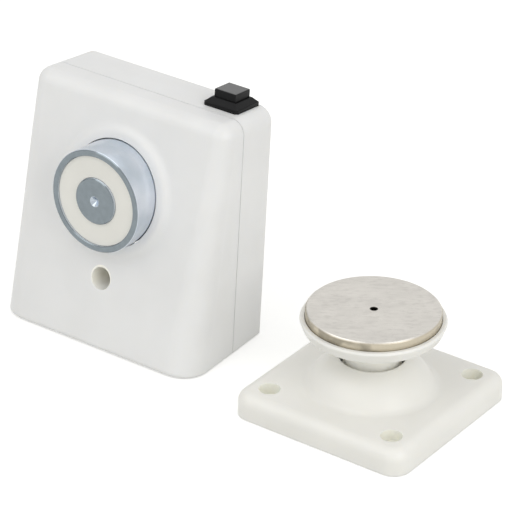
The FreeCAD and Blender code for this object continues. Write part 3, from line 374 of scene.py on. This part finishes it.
def laminate(name, colour, copper):
    """Lacquered board with tracks under the lacquer."""
    t = Tree(name)
    point = t.place()
    cells = t.add("ShaderNodeTexBrick", offset=0.37, squash=0.6)
    for label, number in TRACKS.items():
        cells.inputs[label].default_value = number
    x, _, z = t.split(point)
    t.link(t.vector(x, z), cells.inputs["Vector"])
    tracks = cells.outputs["Fac"]
    weave = t.noise(point, size=0.5 * MM)
    t.bump((tracks, 0.03 * MM), (weave, 0.004 * MM))
    tint = t.colours(tracks, shade(colour, 0.9), copper)
    return t.finish(tint, t.spread(weave, *SOFT, 0.22, 0.34))


def metal(name, colour, rough=(0.22, 0.4), grain=0.6 * MM):
    """Small bright metal pieces: drawn or stamped, with a slightly uneven surface."""
    t = Tree(name)
    point = t.place()
    clouds = t.spread(t.noise(point, size=1.8 * MM, detail=3), *MIDDLING)
    fine = t.noise(point, size=grain, detail=3, rough=0.6)
    t.bump((fine, 0.006 * MM))
    tint = t.colours(clouds, shade(colour, 0.82), colour)
    return t.finish(tint, t.spread(fine, *SOFT, *rough), metal=1.0)


HOUSING = (0.80, 0.80, 0.79)
# Painted light: the screw recess wall is paler than the housing, standing in for light inside the
# recess.
RECESS_WALL_PAINTED_LIGHT = (0.98, 0.955, 0.86)
KEEPER = (0.83, 0.82, 0.775)
# Painted light: the counterbore walls are paler than the keeper, standing in for light inside the
# holes.
BORE_WALL_PAINTED_LIGHT = (0.96, 0.955, 0.87)
# Ivory of the swivel ball, lifted paler than its own colour as painted light against the shade
# under the cup.
IVORY = (0.97, 0.955, 0.88)
CREAM = (0.80, 0.79, 0.735)
ZINC = (0.61, 0.675, 0.75)
# Painted reflection: the dark grey of the magnet's end faces.
ZINC_FACE_REFLECTION = (0.205, 0.235, 0.255)
ZINC_HUE = (0.76, 0.80, 0.87)
NICKEL = (0.66, 0.635, 0.59)
HOLE_PAINTED_SHADE = (0.02, 0.018, 0.015)
STEEL = (0.62, 0.62, 0.60)
SPRING_STEEL = (0.55, 0.55, 0.56)
BRASS = (0.72, 0.56, 0.26)
COPPER = (0.62, 0.30, 0.14)
SWITCH_BLACK = (0.008, 0.008, 0.0085)
SWITCH_TOP_PALE = (0.165, 0.165, 0.165)
BLACK = (0.03, 0.03, 0.03)
RED = (0.45, 0.02, 0.015)
BOARD_GREEN = (0.03, 0.16, 0.07)
TRACK_GREEN = (0.05, 0.24, 0.10)
TERMINAL_GREY = (0.22, 0.25, 0.27)
BUSH_GREY = (0.36, 0.36, 0.35)
RETAINER_GREY = (0.42, 0.42, 0.41)
WHITE_GLOW = 0.35

turned_zinc = plated("turned_zinc", ZINC, ZINC_FACE_REFLECTION, ZINC_HUE, MAGNET_CENTRE, MAGNET_AXIS, -LEAN,
                     POLE_FACE, PIT_RADIUS)
keeper_white = moulded("keeper_white", KEEPER, glow=WHITE_GLOW, hole=keeper_holes)
switch_finish = {"tone": 0.25, "grain": 0.22 * MM, "depth": 0.01 * MM, "gloss": 0.16}
contact_brass = metal("contact_brass", BRASS)
screw_steel = metal("screw_steel", STEEL)

FINISHES = {
    "front_cover": moulded("cover_white", HOUSING, glow=WHITE_GLOW, hole=screw_recess),
    "rear_case": moulded("case_white", HOUSING, glow=WHITE_GLOW),
    "magnet_pot": turned_zinc,
    "magnet_core": turned_zinc,
    "coil_bobbin": moulded("bobbin_cream", CREAM, tone=0.05, rough=(0.4, 0.55)),
    "coil_winding": wound("winding_copper", COPPER, MAGNET_CENTRE, -LEAN),
    "circuit_board": laminate("board_green", BOARD_GREEN, TRACK_GREEN),
    "terminal_block": moulded("terminal_grey", TERMINAL_GREY, tone=0.1),
    "suppressor_diode": moulded("diode_black", BLACK, tone=0.2),
    "switch_body": moulded("switch_black", SWITCH_BLACK, **switch_finish),
    "release_button": moulded("cap_black", SWITCH_BLACK, face_tone=(PRESS_AXIS, CAP_TOP, SWITCH_TOP_PALE),
                              **switch_finish),
    "contact_bridge": contact_brass,
    "switch_terminals": contact_brass,
    "button_spring": metal("spring_steel", SPRING_STEEL),
    "coil_lead_board": moulded("lead_red", RED, tone=0.15),
    "coil_lead_switch": moulded("lead_black", BLACK, tone=0.2),
    "switch_lead_board": moulded("lead_black_second", BLACK, tone=0.2),
    "keeper_base": keeper_white,
    "keeper_cup": keeper_white,
    "swivel_ball": moulded("swivel_ivory", IVORY, glow=0.2),
    "swivel_bush": moulded("bush_grey", BUSH_GREY, tone=0.08),
    "ball_retainer": moulded("retainer_grey", RETAINER_GREY, tone=0.08),
    "armature_plate": nickel("armature_nickel", NICKEL, HOLE_PAINTED_SHADE, PLATE_TOP, KEEPER_CENTRE),
}
for name, node in nodes.items():
    node.data.materials.clear()
    node.data.materials.append(FINISHES.get(name, screw_steel))

# The button's spring: a copy of its CAD coil, on the fixed parts, in place of the node

coil = bpy.data.objects.new("spring_coil", nodes["button_spring"].data.copy())
scene.collection.objects.link(coil)
spring_foot = min((v.co for v in coil.data.vertices), key=PRESS_AXIS.dot).copy()
spring_length = reach("button_spring", PRESS_AXIS) - spring_foot.dot(PRESS_AXIS)
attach(coil, "fixed_parts")
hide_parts("button_spring")
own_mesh(coil)

# Floor and world, both white where they are seen, also in a reflection or through glass

FLOOR_SIDE = 3.0
FLOOR_DROP = 0.2 * MM
FLOOR_PAPER = (0.78, 0.78, 0.76, 1)
FLOOR_LIFT = 0.43
AMBIENT = 0.69
WHITE = (1, 1, 1, 1)


def seen_rays(tree):
    """1 for the rays that show what they hit, 0 for those that only light something else."""
    path = tree.nodes.new("ShaderNodeLightPath")
    seen = path.outputs["Is Camera Ray"]
    for label in ("Is Glossy Ray", "Is Transmission Ray"):
        either = tree.nodes.new("ShaderNodeMath")
        either.operation = "MAXIMUM"
        tree.links.new(seen, either.inputs[0])
        tree.links.new(path.outputs[label], either.inputs[1])
        seen = either.outputs[0]
    return seen


def floor_paper():
    """Pale paper that keeps the shadow, lifted to white where it is seen."""
    t = Tree("floor_paper")
    t.fix(Base_Color=FLOOR_PAPER, Roughness=0.9, Specular_IOR_Level=0.0, Emission_Color=WHITE)
    lift = t.math("MULTIPLY", seen_rays(t.tree), FLOOR_LIFT)
    t.link(lift, t.shader.inputs["Emission Strength"])
    return t.material


half = FLOOR_SIDE / 2
corners = [(-half, -half, 0), (half, -half, 0), (half, half, 0), (-half, half, 0)]
floor_mesh = bpy.data.meshes.new("floor")
floor_mesh.from_pydata(corners, [], [(0, 1, 2, 3)])
floor_mesh.materials.append(floor_paper())
floor = bpy.data.objects.new("floor", floor_mesh)
scene.collection.objects.link(floor)
floor.location.z = -FLOOR_DROP

world = bpy.data.worlds.new("studio")
scene.world = world
world.use_nodes = True
sky = world.node_tree
background = next(n for n in sky.nodes if n.type == "BACKGROUND")
background.inputs["Color"].default_value = WHITE
strength = sky.nodes.new("ShaderNodeMapRange")
strength.inputs["To Min"].default_value = AMBIENT
strength.inputs["To Max"].default_value = 1.0
sky.links.new(seen_rays(sky), strength.inputs["Value"])
sky.links.new(strength.outputs["Result"], background.inputs["Strength"])

# Lamps. An azimuth goes from the front towards the right, for lamps and camera alike.

SUBJECT = Vector((0.045, 0.0, 0.04))
LAMP_DISTANCE = 1.2
LAMP_SIDE = 0.9


def softbox(name, azimuth, elevation, watts):
    """A square area lamp that looks at the object."""
    light = bpy.data.lights.new(name, "AREA")
    light.shape = "SQUARE"
    light.size = LAMP_SIDE
    light.energy = watts
    lamp = bpy.data.objects.new(name, light)
    scene.collection.objects.link(lamp)
    a, e = math.radians(azimuth), math.radians(elevation)
    away = Vector((math.sin(a) * math.cos(e), -math.cos(a) * math.cos(e), math.sin(e)))
    lamp.location = SUBJECT + away * LAMP_DISTANCE
    lamp.rotation_euler = away.to_track_quat("Z", "Y").to_euler()


softbox("key", azimuth=-25, elevation=48, watts=3.1)
softbox("fill", azimuth=75, elevation=30, watts=4.4)

# Camera, at the photograph's place

CAMERA_AIM = Vector((0.03392, 0.03544, 0.02532))
CAMERA_DISTANCE = 1.15
CAMERA_AZIMUTH = math.radians(35.6248)
CAMERA_ELEVATION = math.radians(28.6787)
CAMERA_ROLL = math.radians(0.7951)
SENSOR = 36.0
FOCAL = 208.4

lens = bpy.data.cameras.new("camera")
lens.sensor_width = SENSOR
lens.sensor_fit = "HORIZONTAL"
lens.lens = FOCAL
lens.clip_start = 0.01
camera = bpy.data.objects.new("camera", lens)
scene.collection.objects.link(camera)
turn = Matrix.Rotation(CAMERA_AZIMUTH, 4, "Z")
turn @= Matrix.Rotation(math.pi / 2 - CAMERA_ELEVATION, 4, "X")
turn @= Matrix.Rotation(CAMERA_ROLL, 4, "Z")
back_off = Matrix.Translation((0, 0, CAMERA_DISTANCE))
camera.matrix_world = Matrix.Translation(CAMERA_AIM) @ turn @ back_off
scene.camera = camera
scene.view_settings.view_transform = "Standard"
